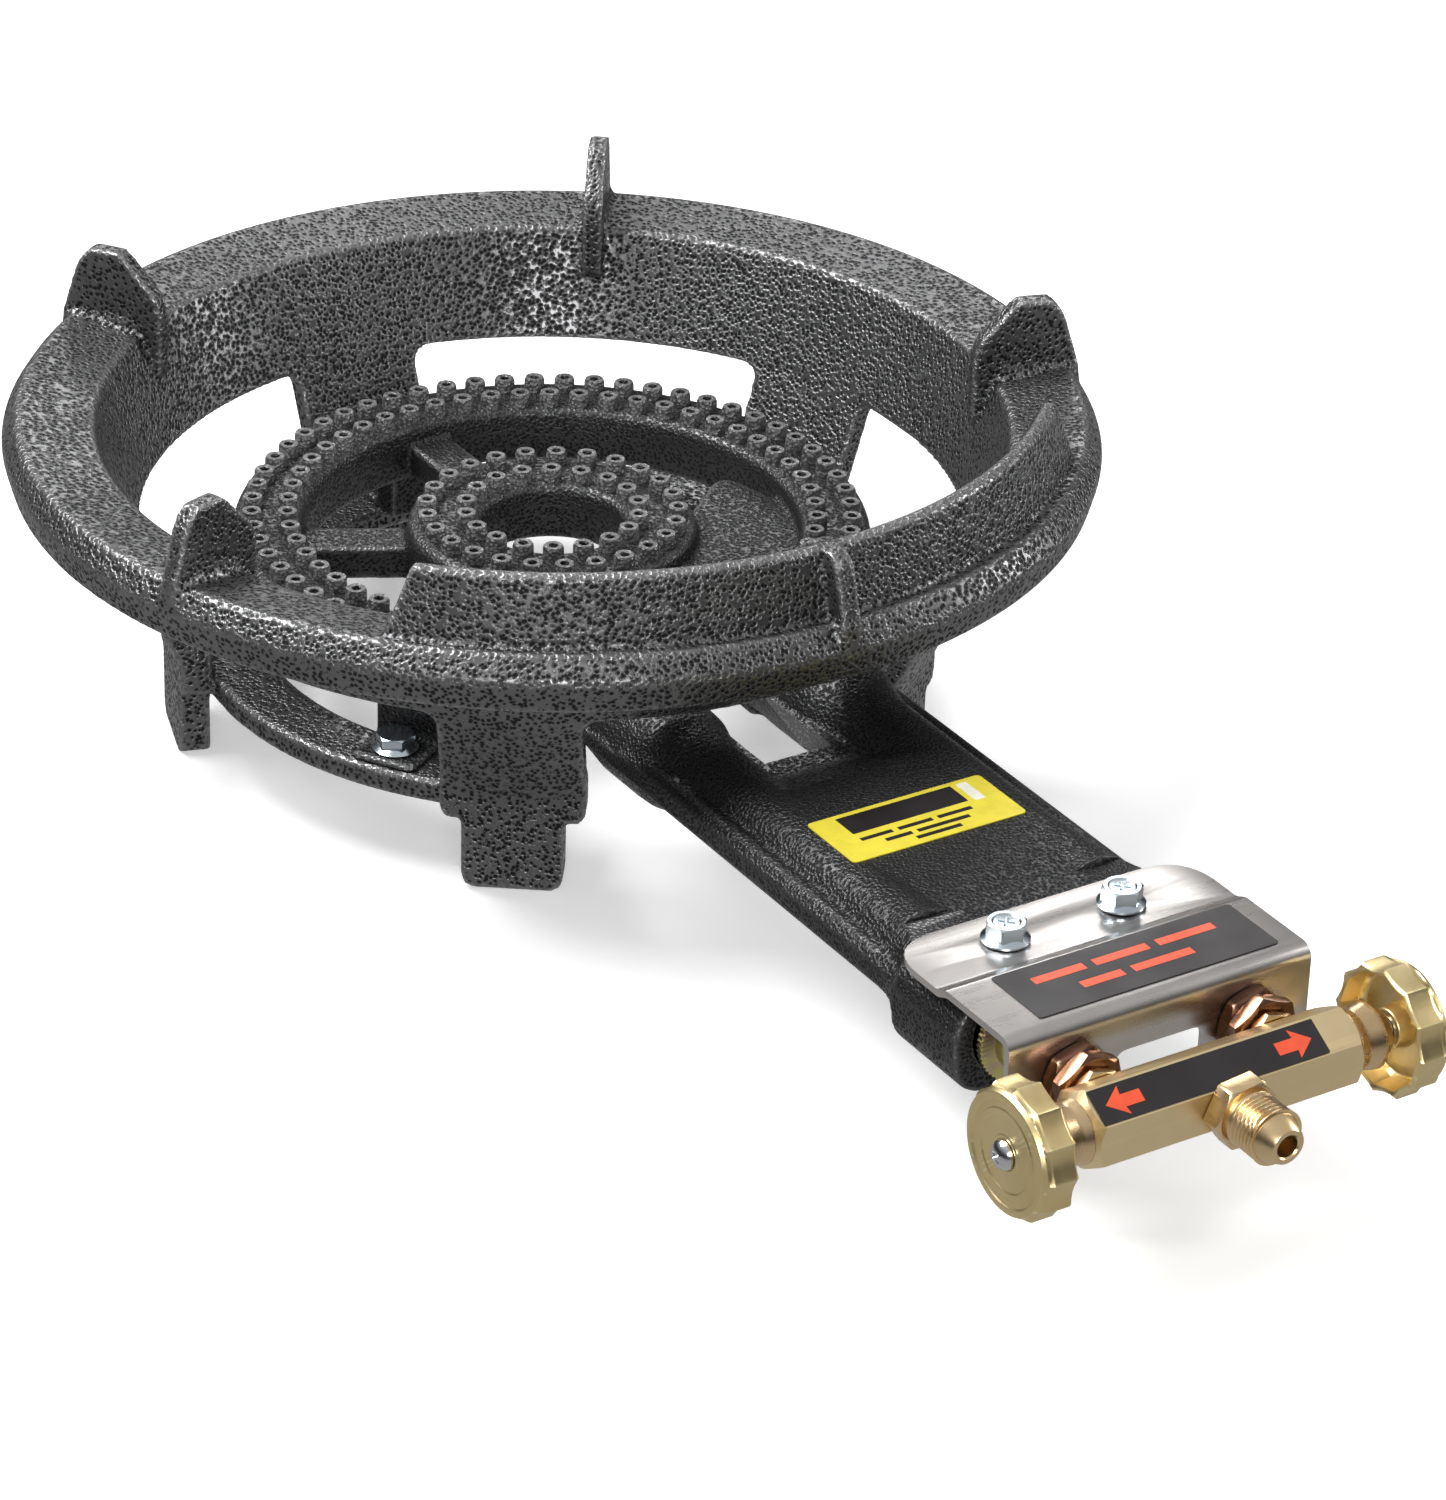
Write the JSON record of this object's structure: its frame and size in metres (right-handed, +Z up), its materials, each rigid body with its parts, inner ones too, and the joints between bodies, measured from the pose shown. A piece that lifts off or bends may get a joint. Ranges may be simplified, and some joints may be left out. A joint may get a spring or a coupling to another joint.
{
  "type": "propane burner stand",
  "caption": "Round cast-iron pot stand with a ring burner inside, a long arm out to a valve manifold, sliding air shutters and turning gas knobs.",
  "frame": {"origin": "middle of the floor area that the part covers, at the level of the feet", "axes": "+Z up; the burner's arm points along -Y to the manifold, which lies along X; the bowl is at +Y"},
  "size_m": [0.3194, 0.5196, 0.119],
  "materials": {
    "stand_iron": "grey hammered paint over cast iron",
    "burner_iron": "dark charcoal hammered paint over cast iron",
    "stainless": "satin",
    "zinc": "bright zinc plate",
    "yellow_zinc": "yellow passivated zinc plate",
    "brass": "machined",
    "knob_brass": "satin cast and turned",
    "nut_brass": "machined, coppery",
    "steel": "turned",
    "packing_rubber": "matt",
    "label_yellow": "printed film",
    "label_black": "printed film"
  },
  "bodies": {
    "stand": {"stand_casting": "stand_iron", "burner_casting": "burner_iron", "stand_bolt_1": "zinc", "stand_bolt_2": "zinc", "stand_bolt_3": "zinc", "bracket": "stainless", "manifold_bar": "brass", "inlet_fitting": "brass", "bracket_screw_left": "zinc", "injector_left": "brass", "orifice_jet_left": "brass", "rear_nut_left": "nut_brass", "front_nut_left": "nut_brass", "jam_nut_left": "nut_brass", "bonnet_left": "brass", "stem_packing_left": "packing_rubber", "bracket_screw_right": "zinc", "injector_right": "brass", "orifice_jet_right": "brass", "rear_nut_right": "nut_brass", "front_nut_right": "nut_brass", "jam_nut_right": "nut_brass", "bonnet_right": "brass", "stem_packing_right": "packing_rubber", "caution_label": "label_yellow", "bracket_label": "label_black", "manifold_label": "label_black"},
    "air_shutter_left": {"air_shutter_left": "yellow_zinc"},
    "valve_stem_left": {"valve_stem_left": "steel"},
    "knob_left": {"knob_left": "knob_brass", "knob_screw_left": "steel"},
    "air_shutter_right": {"air_shutter_right": "yellow_zinc"},
    "valve_stem_right": {"valve_stem_right": "steel"},
    "knob_right": {"knob_right": "knob_brass", "knob_screw_right": "steel"}
  },
  "joints": [
    {"name": "shutter_travel_left", "type": "slide", "parent": "stand", "child": "air_shutter_left", "axis": [0, -1, 0], "range_m": [-0.0015, 0.011]},
    {"name": "stem_travel_left", "type": "slide", "parent": "stand", "child": "valve_stem_left", "axis": [-1, 0, 0], "range_m": [0, 0.0021]},
    {"name": "knob_turn_left", "type": "hinge", "parent": "valve_stem_left", "child": "knob_left", "pos_m": [-0.06, -0.22725, 0.044], "axis": [-1, 0, 0], "range_deg": [0, 720]},
    {"name": "shutter_travel_right", "type": "slide", "parent": "stand", "child": "air_shutter_right", "axis": [0, -1, 0], "range_m": [-0.0015, 0.011]},
    {"name": "stem_travel_right", "type": "slide", "parent": "stand", "child": "valve_stem_right", "axis": [1, 0, 0], "range_m": [0, 0.0021]},
    {"name": "knob_turn_right", "type": "hinge", "parent": "valve_stem_right", "child": "knob_right", "pos_m": [0.06, -0.22725, 0.044], "axis": [1, 0, 0], "range_deg": [0, 720]}
  ],
  "couplings": [
    {"joint": "stem_travel_left", "follows": "knob_turn_left", "m_per_rad": 0.00015915},
    {"joint": "stem_travel_right", "follows": "knob_turn_right", "m_per_rad": 0.00015915}
  ]
}
